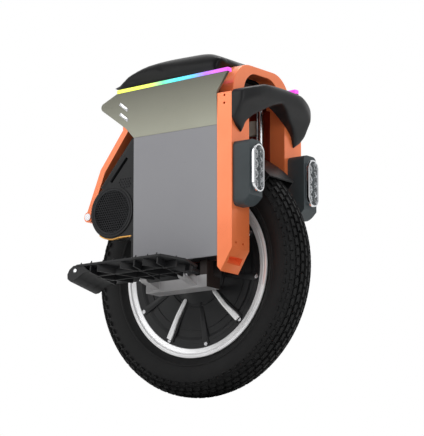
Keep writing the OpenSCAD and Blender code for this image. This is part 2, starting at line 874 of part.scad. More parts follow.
module pedal() {
    color("#1b1c1e") pedal_frame() difference() {
        union() {
            translate([0, 0, pedal_top - skin_t]) linear_extrude(skin_t) pedal_plan();
            // Ribbed underside inside the same outline
            intersection() {
                translate([0, 0, pedal_under]) linear_extrude(pedal_t - skin_t) pedal_plan();
                union() {
                    for (x = [pedal_rear + 4:rib_pitch:pedal_front])
                        translate([x, -edge, pedal_under])
                            cube([rib_t, pedal_reach + edge, pedal_t - skin_t]);
                    for (y = [-edge, 38, pedal_reach - rib_t])
                        translate([pedal_rear, y, pedal_under])
                            cube([pedal_l, rib_t + 2, pedal_t - skin_t]);
                }
            }
            translate([hanger_arms[0], 0, 0]) rotate([0, 90, 0])
                cylinder(r = knuckle_r, h = hanger_arms[1] - hanger_arms[0]);
            for (x = [pedal_rear + 30:34:pedal_front - 40], y = [18, 52, 86])
                translate([x, y, pedal_top]) cylinder(r = 3, h = stud_h);
        }
        for (x = hanger_arms)
            translate([x - hanger_arm_w / 2 - 0.5, -edge - 20, pedal_under - 30])
                cube([hanger_arm_w + 1, edge + 20 + knuckle_r + 2, pedal_t + 60]);
        translate([pedal_rear - 1, 0, 0]) rotate([0, 90, 0])
            cylinder(r = pin_r + fit, h = pedal_l + 2);
    }
}

// Pull handle

module pull_handle() {
    color("#d9541f") {
        both_sides() difference() {
            along_y(arm_in, arm_in + arm_w) {
                bent_strap(handle_route, arm_t);
                translate(handle_route[0]) circle(boss_r);
                translate(handle_route[3]) circle(grip_d / 2 - 1);
            }
            bar_y(pivot_x, pivot_z, 0, body_half, pivot_bolt_r + fit);
        }
        bar_y(handle_route[3][0], handle_route[3][1], -arm_in, arm_in, grip_d / 2 - grip_t);
    }
}

grip_t = 3;

module handle_grip() {
    half = arm_in - 3;
    color("#1a1b1c") difference() {
        bar_y(handle_route[3][0], handle_route[3][1], -half, half, grip_d / 2);
        bar_y(handle_route[3][0], handle_route[3][1], -half - 1, half + 1, grip_d / 2 - grip_t + fit);
    }
}

module handle_bolts() {
    color("#d6d8da") both_sides() {
        bar_y(pivot_x, pivot_z, arm_in + arm_w, arm_in + arm_w + 3, pivot_bolt_r + 3.5);
        bar_y(pivot_x, pivot_z, pod_in, arm_in + arm_w, pivot_bolt_r);
    }
}

// The nodes

on_side(-1) upright();  // upright_right
on_side(1) upright();  // upright_left
front_arch();
on_side(-1) inner_plate();  // inner_plate_right
on_side(1) inner_plate();  // inner_plate_left
top_deck();
guide_rails();
rail_clamps();
on_side(-1) pedal_hanger();  // pedal_hanger_right
on_side(1) pedal_hanger();  // pedal_hanger_left
on_side(-1) side_panel();  // side_panel_right
on_side(1) side_panel();  // side_panel_left
on_side(-1) battery_box();  // battery_box_right
on_side(1) battery_box();  // battery_box_left
battery_packs();
on_side(-1) upper_cover(-1);  // upper_cover_right
on_side(1) upper_cover(1);  // upper_cover_left
light_strips();
seat_base();
seat_pad();
controller_box();
junction_box();
front_bumper();
on_side(-1) lamp_housing();  // lamp_housing_right
on_side(1) lamp_housing();  // lamp_housing_left
on_side(-1) lamp_bezel();  // lamp_bezel_right
on_side(1) lamp_bezel();  // lamp_bezel_left
lamp_leds();
lamp_lenses();
on_side(-1) rear_cowl();  // rear_cowl_right
on_side(1) rear_cowl();  // rear_cowl_left
speaker_grilles();
speaker_drivers();
pod_trims();
tail_light();
shock_bodies();
charge_port();
charge_cap();
power_button();
pedal_pins();
on_side(-1) axle_plate();  // axle_plate_right
on_side(1) axle_plate();  // axle_plate_left
slide_bushes();
axle();
axle_nuts();
shock_rods();
fender();
stator();
tyre();
rim();
on_side(-1) motor_cover();  // motor_cover_right
on_side(1) motor_cover();  // motor_cover_left
spoke_trims();
hub_bolts();
bearings();
on_side(-1) pedal();  // pedal_right
on_side(1) pedal();  // pedal_left
pull_handle();
handle_grip();
handle_bolts();
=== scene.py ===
import json
import math
import random

import bmesh
import bpy
from mathutils import Matrix, Vector


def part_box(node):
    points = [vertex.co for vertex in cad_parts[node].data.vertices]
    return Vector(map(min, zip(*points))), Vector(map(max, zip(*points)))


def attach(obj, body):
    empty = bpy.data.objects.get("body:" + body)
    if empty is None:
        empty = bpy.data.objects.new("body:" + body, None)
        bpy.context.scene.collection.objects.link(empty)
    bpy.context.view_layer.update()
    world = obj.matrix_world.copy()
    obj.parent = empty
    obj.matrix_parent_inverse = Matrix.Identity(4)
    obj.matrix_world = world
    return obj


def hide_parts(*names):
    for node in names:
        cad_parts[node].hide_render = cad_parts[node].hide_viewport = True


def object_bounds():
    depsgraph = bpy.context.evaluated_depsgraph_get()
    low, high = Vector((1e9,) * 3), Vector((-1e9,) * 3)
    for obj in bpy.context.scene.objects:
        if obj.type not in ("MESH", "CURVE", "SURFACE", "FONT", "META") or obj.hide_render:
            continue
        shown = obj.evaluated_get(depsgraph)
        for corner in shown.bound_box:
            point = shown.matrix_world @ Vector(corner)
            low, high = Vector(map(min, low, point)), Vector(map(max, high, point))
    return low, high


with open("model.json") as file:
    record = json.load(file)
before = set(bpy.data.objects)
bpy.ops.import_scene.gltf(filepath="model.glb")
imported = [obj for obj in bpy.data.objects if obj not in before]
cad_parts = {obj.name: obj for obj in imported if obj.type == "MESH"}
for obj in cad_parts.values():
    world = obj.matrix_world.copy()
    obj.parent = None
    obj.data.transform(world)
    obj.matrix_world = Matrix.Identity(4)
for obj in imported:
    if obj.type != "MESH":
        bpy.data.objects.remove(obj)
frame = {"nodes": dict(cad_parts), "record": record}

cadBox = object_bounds()
slots = {p["node"]: p["material_slot"] for p in frame["record"]["subparts"]}


# Shader values that add their own nodes

class Wire:
    def __init__(self, tree, socket=None):
        self.tree = tree
        self.socket = socket

    def make(self, kind, settings=None, values=None, out=0):
        node = self.tree.nodes.new(kind)
        for key, value in (settings or {}).items():
            if key == "stops":
                ramp = node.color_ramp
                while len(ramp.elements) < len(value):
                    ramp.elements.new(0.5)
                for stop, (place, color) in zip(ramp.elements, value):
                    stop.position = place
                    stop.color = (*color, 1)
            else:
                setattr(node, key, value)
        for key, value in (values or {}).items():
            if isinstance(value, Wire):
                self.tree.links.new(value.socket, node.inputs[key])
            else:
                node.inputs[key].default_value = value
        return Wire(self.tree, node.outputs[out])

    def maths(self, operation, a, b=0.0):
        return self.make("ShaderNodeMath", {"operation": operation}, {0: a, 1: b})

    def __add__(self, other):
        return self.maths("ADD", self, other)

    __radd__ = __add__

    def __sub__(self, other):
        return self.maths("SUBTRACT", self, other)

    def __mul__(self, other):
        return self.maths("MULTIPLY", self, other)

    __rmul__ = __mul__

    def noise(self, scale, detail=2.0):
        return self.make("ShaderNodeTexNoise", {}, {"Vector": self, "Scale": scale, "Detail": detail})

    def ramp(self, low, high):
        return self.make("ShaderNodeMapRange", {}, {"Value": self, "From Min": low, "From Max": high})

    def mix(self, dark, light):
        values = {0: self, 6: dark, 7: light}
        return self.make("ShaderNodeMix", {"data_type": "RGBA"}, values, out=2)

    def parts(self):
        node = self.make("ShaderNodeSeparateXYZ", {}, {0: self}).socket.node
        return [Wire(self.tree, node.outputs[i]) for i in range(3)]


def rgb(color):
    return (*color, 1.0)


# Each finish: its colour, a darker tone for patches, and how rough, metallic and grained it is
looks = {
    "orange_frame": dict(color=(0.97, 0.245, 0.085), shade=(0.90, 0.205, 0.065), rough=0.30, metal=0.35,
                         grain=900, bump=0.04, patch=9, coat=0.25),
    # orange_inner is painted shade: a darker copy of the orange frame for inner faces that sit in shade
    "orange_inner": dict(color=(0.42, 0.045, 0.018), shade=(0.27, 0.025, 0.012), rough=0.36, metal=0.45,
                         grain=700, bump=0.05, patch=12, streak=(0.02, 1, 1)),
    "panel_grey": dict(color=(0.275, 0.275, 0.29), shade=(0.245, 0.245, 0.262), rough=0.42, metal=0.25,
                       grain=1300, bump=0.05, patch=5, streak=(1, 1, 0.015)),
    # cover_olive's last entry is painted shade: the cover is darkened towards the top
    "cover_olive": dict(color=(0.34, 0.34, 0.27), shade=(0.29, 0.29, 0.23), rough=0.36, metal=0.35,
                        grain=1300, bump=0.05, patch=5, coat=0.15, streak=(0.02, 1, 1),
                        paintedTopShade=(0.535, 0.628, (0.080, 0.079, 0.055))),
    "pad_black": dict(color=(0.006, 0.006, 0.0065), shade=(0.004, 0.004, 0.0045), rough=0.34, metal=0.0,
                      grain=420, bump=0.16, patch=16, cells=True, gloss=0.16),
    "black_plastic": dict(color=(0.010, 0.0105, 0.0115), shade=(0.007, 0.007, 0.008), rough=0.42, metal=0.0,
                          grain=800, bump=0.14, patch=20, gloss=0.28),
    "slate_plastic": dict(color=(0.050, 0.062, 0.067), shade=(0.040, 0.050, 0.055), rough=0.48, metal=0.0,
                          grain=800, bump=0.10, patch=16, gloss=0.3),
    "chrome_trim": dict(color=(0.90, 0.91, 0.93), shade=(0.78, 0.79, 0.82), rough=0.10, metal=1.0,
                        grain=500, bump=0.02, patch=30),
    "grille_black": dict(color=(0.022, 0.023, 0.025), shade=(0.014, 0.014, 0.016), rough=0.48, metal=0.1,
                         grain=900, bump=0.10, patch=30, gloss=0.25),
    "gold_trim": dict(color=(0.75, 0.40, 0.10), shade=(0.55, 0.26, 0.06), rough=0.28, metal=0.7,
                      grain=600, bump=0.03, patch=30),
    "red_lens": dict(color=(0.50, 0.012, 0.008), shade=(0.33, 0.006, 0.005), rough=0.12, metal=0.0,
                     grain=260, bump=0.25, patch=60, cells=True, coat=0.8),
    # beam_grey's last entry is partly the black bracket's own dark colour, partly painted shade on the beam's
    # front end
    "beam_grey": dict(color=(0.42, 0.41, 0.42), shade=(0.33, 0.325, 0.33), rough=0.50, metal=0.35,
                      grain=500, bump=0.16, patch=14, bracketAndPaintedShade=(0.0796, 0.2318, (0.022, 0.014, 0.012))),
    # box_grey is painted light in part: lighter than the box's own taupe, standing in for light that falls
    # short there
    "box_grey": dict(color=(0.60, 0.57, 0.49), shade=(0.50, 0.475, 0.41), rough=0.50, metal=0.0,
                     grain=700, bump=0.10, patch=20),
    "battery_wrap": dict(color=(0.04, 0.15, 0.34), shade=(0.03, 0.10, 0.25), rough=0.25, metal=0.0,
                         grain=120, bump=0.2, patch=20),
    "steel_bright": dict(color=(0.66, 0.66, 0.68), shade=(0.52, 0.52, 0.54), rough=0.24, metal=1.0,
                         grain=900, bump=0.05, patch=40, streak=(1, 0.05, 1)),
    "black_metal": dict(color=(0.012, 0.012, 0.013), shade=(0.008, 0.008, 0.009), rough=0.40, metal=0.3,
                        grain=900, bump=0.10, patch=22, gloss=0.3),
    "motor_black": dict(color=(0.011, 0.0115, 0.0125), shade=(0.007, 0.007, 0.008), rough=0.36, metal=0.1,
                        grain=600, bump=0.10, patch=18, gloss=0.35),
    "machined_rim": dict(color=(0.93, 0.93, 0.94), shade=(0.84, 0.84, 0.85), rough=0.30, metal=0.45,
                         grain=900, bump=0.04, patch=30, coat=0.3),
    "copper_core": dict(color=(0.50, 0.22, 0.09), shade=(0.30, 0.14, 0.08), rough=0.40, metal=0.8,
                        grain=300, bump=0.3, patch=60),
    "tyre_rubber": dict(color=(0.0095, 0.0098, 0.0102), shade=(0.006, 0.006, 0.0065), rough=0.62, metal=0.0,
                        grain=500, bump=0.20, patch=14, dust=(0.030, 0.029, 0.028), gloss=0.22),
    "soft_rubber": dict(color=(0.012, 0.012, 0.013), shade=(0.008, 0.008, 0.009), rough=0.62, metal=0.0,
                        grain=500, bump=0.25, patch=20, gloss=0.25),
}
finishing = dict(patchRough=0.10, grainRough=0.06, lineRough=0.12, lineScale=700.0, lineShare=0.25,
                 paintedTopShadeShare=0.85, dustShare=0.30, dustScale=6.0, scuffScale=85.0, scuffRough=0.14,
                 bumpDepth=0.0004, coatRough=0.12)


def startMaterial(name):
    material = bpy.data.materials.new(name)
    material.use_nodes = True
    wire = Wire(material.node_tree)
    place = wire.make("ShaderNodeTexCoord")
    place.socket = place.socket.node.outputs["Object"]
    return material, wire, place


def feed(material, values):
    shader = material.node_tree.nodes["Principled BSDF"]
    for key, value in values.items():
        if isinstance(value, Wire):
            material.node_tree.links.new(value.socket, shader.inputs[key])
        else:
            shader.inputs[key].default_value = value
    return material


def makeFinish(name, look):
    material, wire, place = startMaterial(name)
    patches = place.noise(look["patch"], 4.0)
    if look.get("cells"):
        grain = wire.make("ShaderNodeTexVoronoi", {}, {"Vector": place, "Scale": look["grain"]})
    else:
        grain = place.noise(look["grain"])
    tone = patches.ramp(0.35, 0.65)
    rough = look["rough"] + finishing["patchRough"] * (patches - 0.5)
    rough = rough + finishing["grainRough"] * (grain - 0.5)
    if "streak" in look:  # brushed lines, long along the axis with the small number
        brushed = wire.make("ShaderNodeMapping", {}, {"Vector": place, "Scale": look["streak"]})
        lines = brushed.noise(finishing["lineScale"], 3.0)
        rough = rough + finishing["lineRough"] * (lines - 0.5)
        tone = (1 - finishing["lineShare"]) * tone + finishing["lineShare"] * lines
        grain = 0.5 * grain + 0.5 * lines
    color = tone.mix(rgb(look["shade"]), rgb(look["color"]))
    if "paintedTopShade" in look:  # painted shade: darker towards the top of the height
        low, high, deep = look["paintedTopShade"]
        height = place.parts()[2].ramp(low, high)
        color = (height * finishing["paintedTopShadeShare"]).mix(color, rgb(deep))
    if "bracketAndPaintedShade" in look:  # above and ahead of the beam the colour goes dark brown: the black bracket there, and painted shade with a warm painted reflection on the beam's front end
        ahead, above, deep = look["bracketAndPaintedShade"]
        x, z = place.parts()[::2]
        mask = x.maths("MAXIMUM", x.maths("GREATER_THAN", x, ahead), z.maths("GREATER_THAN", z, above))
        color = mask.mix(color, rgb(deep))
    if "dust" in look:  # pale dust caught in broad soft clouds
        cloud = place.noise(finishing["dustScale"], 6.0)
        color = (finishing["dustShare"] * cloud.ramp(0.45, 0.75)).mix(color, rgb(look["dust"]))
    # fine scuffs where a sharp noise peaks
    mark = place.noise(finishing["scuffScale"], 8.0).ramp(0.66, 0.74)
    rough = rough + finishing["scuffRough"] * mark
    bump = wire.make("ShaderNodeBump", {}, {"Height": grain, "Strength": look["bump"],
                                            "Distance": finishing["bumpDepth"]})
    return feed(material, {"Base Color": color, "Roughness": rough, "Normal": bump, "Metallic": look["metal"],
                           "Specular IOR Level": look.get("gloss", 0.5), "Coat Weight": look.get("coat", 0.0),
                           "Coat Roughness": finishing["coatRough"]})


# Place along a light strip and its colour there
stripColors = [(0.0, (0.90, 0.95, 0.04)), (0.30, (0.80, 0.95, 0.06)), (0.42, (0.10, 0.85, 0.35)),
               (0.55, (0.03, 0.75, 0.85)), (0.70, (0.06, 0.45, 0.90)), (0.80, (0.35, 0.08, 0.85)),
               (1.0, (0.80, 0.03, 0.75))]


def makeStripLight():
    material, wire, place = startMaterial("strip_light")
    low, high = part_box("light_strips")
    along = place.parts()[0].ramp(low.x, high.x)
    rainbow = wire.make("ShaderNodeValToRGB", {"stops": stripColors}, {0: along})
    cloud = place.noise(60.0)
    color = (0.12 * cloud).mix(rainbow, rgb((1, 1, 1)))
    return feed(material, {"Base Color": color, "Emission Color": color, "Roughness": 0.2 + 0.1 * cloud,
                           "Emission Strength": 0.75})


def makeLampCells():
    material, wire, place = startMaterial("lamp_cells")
    facets = wire.make("ShaderNodeTexVoronoi", {}, {"Vector": place, "Scale": 260.0})
    color = facets.ramp(0.1, 0.7).mix(rgb((0.93, 0.94, 0.93)), rgb((0.62, 0.63, 0.65)))
    bump = wire.make("ShaderNodeBump", {}, {"Height": facets, "Strength": 0.2, "Distance": 0.0006})
    return feed(material, {"Base Color": color, "Roughness": 0.12 + 0.2 * facets, "Normal": bump,
                           "Metallic": 0.8})


def makeClearLens():
    material, wire, place = startMaterial("clear_lens")
    haze = place.noise(90.0)
    return feed(material, {"Base Color": rgb((0.8, 0.85, 0.88)), "Roughness": 0.03 + 0.05 * haze,
                           "Alpha": 0.035 + 0.03 * haze, "Coat Weight": 0.15})


materials = {name: makeFinish(name, look) for name, look in looks.items()}
materials["strip_light"] = makeStripLight()
materials["lamp_cells"] = makeLampCells()
materials["clear_lens"] = makeClearLens()
print("materials", len(materials))


# Mesh helpers

def newPiece(name, mesh, slot, body, covers=()):
    bmesh.ops.recalc_face_normals(mesh, faces=mesh.faces)
    data = bpy.data.meshes.new(name)
    mesh.to_mesh(data)
    mesh.free()
    piece = bpy.data.objects.new(name, data)
    bpy.context.scene.collection.objects.link(piece)
    data.materials.append(materials[slot])
    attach(piece, body)
    if covers:
        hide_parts(*covers)
    return piece


def smoothShade(piece, angle):
    for face in piece.data.polygons:
        face.use_smooth = True
    piece.data.set_sharp_from_angle(angle=math.radians(angle))


rounding = dict(weld=0.00002, segments=2, angle=32)


def roundEdges(piece, width):
    merge = piece.modifiers.new("merge", "WELD")
    merge.merge_threshold = rounding["weld"]
    edge = piece.modifiers.new("edge", "BEVEL")
    edge.width = width
    edge.segments = rounding["segments"]
    edge.limit_method = "ANGLE"
    edge.angle_limit = math.radians(rounding["angle"])
    edge.harden_normals = False
    edge.use_clamp_overlap = True
    shade = piece.modifiers.new("shade", "WEIGHTED_NORMAL")
    shade.keep_sharp = True


def bevelAll(mesh, width, segments=2, angle=30):
    sharp = [e for e in mesh.edges if len(e.link_faces) == 2 and e.calc_face_angle(0) > math.radians(angle)]
    bmesh.ops.bevel(mesh, geom=sharp, offset=width, offset_type="OFFSET", segments=segments,
                    profile=0.5, affect="EDGES", clamp_overlap=True, material=-1)


def addBox(mesh, size, place):
    bmesh.ops.create_cube(mesh, size=1.0, matrix=place @ Matrix.Diagonal((*size, 1)))


def addRod(mesh, radius, length, place, segments=24, tip=None):
    bmesh.ops.create_cone(mesh, cap_ends=True, segments=segments, radius1=radius,
                          radius2=radius if tip is None else tip, depth=length, matrix=place)


def flatFace(mesh, points):
    return mesh.faces.new([mesh.verts.new(p) for p in points])


def vertsOf(geometry):
    return [item for item in geometry if isinstance(item, bmesh.types.BMVert)]


# Extrudes faces by a step, keeps the first ones as the far side and gives back what it made
def lift(mesh, faces, step):
    raised = bmesh.ops.extrude_face_region(mesh, geom=faces, use_keep_orig=True)["geom"]
    bmesh.ops.translate(mesh, verts=vertsOf(raised), vec=step)
    return raised


# Spins a closed outline of points about a line through the centre
def addSpun(mesh, points, centre, axis, steps):
    rail = [mesh.verts.new(p) for p in points]
    edges = [mesh.edges.new(pair) for pair in zip(rail, rail[1:] + rail[:1])]
    bmesh.ops.spin(mesh, geom=rail + edges, cent=centre, axis=axis, angle=math.tau, steps=steps,
                   use_merge=True, use_duplicate=False)
    bmesh.ops.remove_doubles(mesh, verts=mesh.verts, dist=0.000005)


# The same about a line along Y, for an outline of (radius, along) points
def spinAlongY(mesh, profile, centre, steps):
    addSpun(mesh, [centre + Vector((r, y, 0)) for r, y in profile], centre, (0, 1, 0), steps)


def turned(centre, angle):
    return Matrix.Translation(centre) @ Matrix.Rotation(-angle, 4, "Y")


def closedMesh(part):
    bmesh.ops.recalc_face_normals(part, faces=part.faces)
    data = bpy.data.meshes.new("part")
    part.to_mesh(data)
    part.free()
    return data


# Copies are placed before they join the mesh, so nothing already there moves
def stamp(mesh, template, place):
    copy = template.copy()
    copy.transform(place)
    mesh.from_mesh(copy)
    bpy.data.meshes.remove(copy)


def stampClosed(mesh, part, place=Matrix.Identity(4)):
    template = closedMesh(part)
    stamp(mesh, template, place)
    bpy.data.meshes.remove(template)


# CAD nodes keep their shapes and take a finish, with their sharp edges rounded

edgeWidths = {
    "upright_right": 0.0016, "upright_left": 0.0016, "front_arch": 0.0014, "pull_handle": 0.0016,
    "side_panel_right": 0.0008, "side_panel_left": 0.0008, "upper_cover_right": 0.0010,
    "upper_cover_left": 0.0010, "lamp_housing_right": 0.0030, "lamp_housing_left": 0.0030,
    "lamp_bezel_right": 0.0022, "lamp_bezel_left": 0.0022, "rear_cowl_right": 0.0016,
    "rear_cowl_left": 0.0016, "pedal_hanger_right": 0.0018, "pedal_hanger_left": 0.0018,
    "light_strips": 0.0015, "seat_base": 0.0015, "top_deck": 0.0008, "junction_box": 0.0025,
    "fender": 0.0008, "axle_nuts": 0.0010, "handle_grip": 0.0020, "tail_light": 0.0018,
    "charge_cap": 0.0007, "charge_port": 0.0006, "power_button": 0.0010, "pod_trims": 0.0005,
    "controller_box": 0.0006, "battery_box_right": 0.0010, "battery_box_left": 0.0010,
    "axle_plate_right": 0.0008, "axle_plate_left": 0.0008, "rail_clamps": 0.0010,
    "handle_bolts": 0.0010, "hub_bolts": 0.0006, "pedal_pins": 0.0010, "shock_rods": 0.0010,
    "shock_bodies": 0.0010, "slide_bushes": 0.0010, "inner_plate_right": 0.0006,
    "inner_plate_left": 0.0006,
}

for nodeName, nodeObject in frame["nodes"].items():
    finish = materials.get(slots[nodeName])
    nodeObject.data.materials.clear()
    nodeObject.data.materials.append(finish)
    if nodeName in edgeWidths:
        roundEdges(nodeObject, edgeWidths[nodeName])
print("frame finished", len(frame["nodes"]))


# Wheel: carcass, tread, rim and the cast arms of the motor cover

tyreLow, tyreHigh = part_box("tyre")
axle = Vector((0, 0, (tyreLow.z + tyreHigh.z) / 2))
tyreRadius = (tyreHigh.z - tyreLow.z) / 2

tyre = dict(treadDepth=0.0048, treadRoot=0.002, blocksAround=76, stagger=0.25, steps=192, hairsAround=64,
            hairLength=0.0045, hairRoot=0.0006, hairTip=0.0004, hairRows=(-0.0375, -0.0315, 0.0315, 0.0375),
            hairReach=0.0350, hairSeed=7)
# From the crown's middle to the bead: drop below the tread, distance from the middle
crown = [(0.0048, 0.0), (0.0058, 0.0100), (0.0085, 0.0185), (0.0130, 0.0262), (0.0200, 0.0322),
         (0.0262, 0.0348), (0.0272, 0.0358), (0.0285, 0.0360), (0.0370, 0.0374), (0.0450, 0.0373),
         (0.0540, 0.0356),
         (0.0600, 0.0334), (0.0612, 0.0342), (0.0640, 0.0336), (0.0655, 0.0318), (0.0720, 0.0270),
         (0.0762, 0.0244), (0.0850, 0.0222)]
# The inside, from the bead back to the middle
liner = [(0.0850, 0.0172), (0.0762, 0.0182), (0.0520, 0.0290), (0.0400, 0.0300), (0.0220, 0.0240),
         (0.0140, 0.0)]
# Tread rows: distance from the middle, block length, block width, bend, shift along the row
treadRows = [(0.0, 0.0178, 0.0080, 0.0030, 0.0), (0.0102, 0.0172, 0.0086, 0.0034, 0.5),
             (0.0200, 0.0166, 0.0084, 0.0034, 0.0), (0.0286, 0.0138, 0.0070, 0.0020, 0.5),
             (0.0348, 0.0092, 0.0050, 0.0008, 0.0)]


def crownAt(distance):
    for (dropA, sideA), (dropB, sideB) in zip(crown, crown[1:]):
        if sideA <= distance <= sideB:
            part = (distance - sideA) / (sideB - sideA)
            slope = math.atan2(dropB - dropA, sideB - sideA)
            return tyreRadius - dropA - part * (dropB - dropA), slope
    return tyreRadius, 0.0


def treadBlock(length, width, bend):
    block = bmesh.new()
    half, side, root = length / 2, width / 2, tyre["treadRoot"]
    outline = [(-half, -side), (-half + bend, 0), (-half, side), (-half * 0.1, side * 0.82),
               (half, side), (half + bend, 0), (half, -side), (half * 0.1, -side * 0.82)]
    face = flatFace(block, [(u, v, -root) for u, v in outline])
    top = lift(block, [face], (0, 0, tyre["treadDepth"] + root))
    bmesh.ops.scale(block, verts=vertsOf(top), vec=(0.90, 0.86, 1))
    topFaces = [f for f in top if isinstance(f, bmesh.types.BMFace)]
    bmesh.ops.inset_region(block, faces=topFaces, thickness=0.0006, depth=0.0004)
    return closedMesh(block)


# A frame on the tyre: x runs round the wheel, y across it, z outwards
def onCrown(angle, distance):
    radius, slope = crownAt(abs(distance))
    side = 1 if distance >= 0 else -1
    return (Matrix.Translation(axle) @ Matrix.Rotation(angle, 4, "Y")
            @ Matrix.Translation((0, distance, radius)) @ Matrix.Rotation(-side * slope, 4, "X"))


def makeTyre():
    mesh = bmesh.new()
    half = [(tyreRadius - drop, side) for drop, side in crown + liner]
    spinAlongY(mesh, half + [(r, -y) for r, y in reversed(half[1:-1])], axle, tyre["steps"])
    bmesh.ops.recalc_face_normals(mesh, faces=mesh.faces)
    for distance, length, width, bend, shift in treadRows:
        for side in ((1, -1) if distance else (1,)):
            block = treadBlock(length, width, side * bend)
            for step in range(tyre["blocksAround"]):
                turn = math.tau * (step + shift + (tyre["stagger"] if side < 0 else 0)) / tyre["blocksAround"]
                stamp(mesh, block, onCrown(turn, side * distance))
            bpy.data.meshes.remove(block)
    strand = bmesh.new()
    addRod(strand, tyre["hairRoot"], tyre["hairLength"], Matrix.Translation((0, 0, tyre["hairLength"] / 2)),
           4, tyre["hairTip"])
    hair = closedMesh(strand)
    chance = random.Random(tyre["hairSeed"])
    for distance in tyre["hairRows"]:
        for step in range(tyre["hairsAround"]):
            turn = math.tau * (step + chance.uniform(-0.3, 0.3)) / tyre["hairsAround"]
            near = min(abs(distance), tyre["hairReach"])
            place = onCrown(turn, math.copysign(near, distance))
            tilt = Matrix.Rotation(chance.uniform(-0.5, 0.5), 4, "Y")
            tilt = tilt @ Matrix.Scale(chance.uniform(0.5, 1.0), 4)
            stamp(mesh, hair, place @ tilt)
    bpy.data.meshes.remove(hair)
    smoothShade(newPiece("tyreTread", mesh, "tyre_rubber", "wheel", ["tyre"]), 28)


rim = dict(steps=192)
# Radius and distance from the middle, down one face of the rim
rimFace = [(0.1500, 0.0160), (0.1500, 0.0220), (0.1562, 0.0226), (0.1572, 0.0238), (0.1660, 0.0256),
           (0.1668, 0.0250), (0.1676, 0.0250), (0.1683, 0.0264), (0.1700, 0.0275), (0.1730, 0.0278),
           (0.1752, 0.0272),
           (0.1760, 0.0258), (0.1758, 0.0246), (0.1675, 0.0226), (0.1675, 0.0165), (0.1600, 0.0140)]


def makeRim():
    mesh = bmesh.new()
    spinAlongY(mesh, rimFace + [(r, -y) for r, y in reversed(rimFace)], axle, rim["steps"])
    smoothShade(newPiece("rimBarrel", mesh, "machined_rim", "wheel", ["rim"]), 24)


arms = dict(count=5, firstTurn=27, coverFace=0.0215, bodyTop=0.0268, trimTop=0.0306, ribTop=0.0262,
            sunk=0.002, overlap=0.0005, bodyEdge=0.0014, trimEdge=0.0009, ringSteps=120, ringLean=0.0004)
# Raised rings of the cover and a step inside the bolt circle: inner radius, outer radius, rise
coverRings = [(0.1405, 0.1465, 0.0030), (0.1180, 0.1200, 0.0026), (0.0700, 0.0725, 0.0058)]
# Outlines of one arm: distance from the axle, sideways place
trimOutline = [(0.056, 0.0010), (0.064, -0.0020), (0.098, -0.0058), (0.134, -0.0062), (0.148, -0.0062),
               (0.149, 0.0056), (0.137, 0.0058), (0.104, 0.0034), (0.066, 0.0056), (0.057, 0.0052)]
armOutline = [(0.048, -0.0080), (0.098, -0.0105), (0.136, -0.0100), (0.1508, -0.0100), (0.1508, 0.0100),
              (0.136, 0.0100), (0.100, 0.0085), (0.048, 0.0110)]
ribOutline = [(0.060, -0.0045), (0.132, -0.0070), (0.1505, -0.0080), (0.1505, 0.0080), (0.132, 0.0070),
              (0.060, 0.0045)]


def addPlate(mesh, outline, low, high, side, turn, edge):
    plate = bmesh.new()
    face = flatFace(plate, [(r, side * low, w) for r, w in outline])
    lift(plate, [face], (0, side * (high - low), 0))
    bevelAll(plate, edge)
    stampClosed(mesh, plate, turned(axle, math.radians(turn)))


def makeArms():
    bodies = bmesh.new()
    trims = bmesh.new()
    deep = arms["coverFace"] - arms["sunk"]
    for side in (-1, 1):
        for number in range(arms["count"]):
            turn = arms["firstTurn"] + number * 360 / arms["count"]
            between = turn + 180 / arms["count"]
            addPlate(bodies, armOutline, deep, arms["bodyTop"], side, turn, arms["bodyEdge"])
            addPlate(bodies, ribOutline, deep, arms["ribTop"], side, between, arms["bodyEdge"])
            addPlate(trims, trimOutline, arms["bodyTop"] - arms["overlap"], arms["trimTop"], side, turn,
                     arms["trimEdge"])
        for inner, outer, rise in coverRings:
            base = side * (arms["coverFace"] - arms["overlap"])
            top = side * (arms["coverFace"] + rise)
            ring = bmesh.new()
            spinAlongY(ring, [(inner, base), (inner + arms["ringLean"], top), (outer - arms["ringLean"], top),
                              (outer, base)], axle, arms["ringSteps"])
            stampClosed(bodies, ring)
    smoothShade(newPiece("coverArms", bodies, "motor_black", "wheel"), 30)
    smoothShade(newPiece("armTrims", trims, "machined_rim", "wheel", ["spoke_trims"]), 30)


makeTyre()
makeRim()
makeArms()
print("wheel made")


# Padded top, blown up from inside and held to the shape of its base

def relax(mesh, verts):
    bmesh.ops.smooth_vert(mesh, verts=verts, factor=0.5, use_axis_x=True, use_axis_y=True, use_axis_z=True)


def remeshed(node, voxel, rounds, held):
    mesh = bmesh.new()
    mesh.from_mesh(frame["nodes"][node].data)
    bmesh.ops.remove_doubles(mesh, verts=mesh.verts, dist=0.00005)
    data = bpy.data.meshes.new(node + "_work")
    mesh.to_mesh(data)
    mesh.free()
    work = bpy.data.objects.new(node + "_work", data)
    bpy.context.scene.collection.objects.link(work)
    skin = work.modifiers.new("skin", "REMESH")
    skin.mode = "VOXEL"
    skin.voxel_size = voxel
    bpy.context.view_layer.update()
    shaped = bpy.data.meshes.new_from_object(work.evaluated_get(bpy.context.evaluated_depsgraph_get()))
    bpy.data.objects.remove(work)
    mesh = bmesh.new()
    mesh.from_mesh(shaped)
    loose = [v for v in mesh.verts if not held(v.co)]
    for step in range(rounds):
        relax(mesh, loose)
    return mesh


pad = dict(voxel=0.0045, smoothing=16, quality=6, pressure=4.0, frames=20, swell=0.0045, heldHeight=0.003,
           boxMargin=0.006, headroom=0.004, lastRounds=2, seamSide=0.074, seamDepth=0.0011, seamWidth=0.0021,
           seamFacing=0.25, fill=0.85)
padLow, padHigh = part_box("seat_pad")
boxLow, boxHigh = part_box("controller_box")


def padHeld(point):
    overBox = (abs(point.y) < boxHigh.y + pad["boxMargin"] and point.x < boxHigh.x + pad["boxMargin"]
               and point.z < boxHigh.z + pad["heldHeight"])
    return point.z < padLow.z + pad["heldHeight"] or overBox


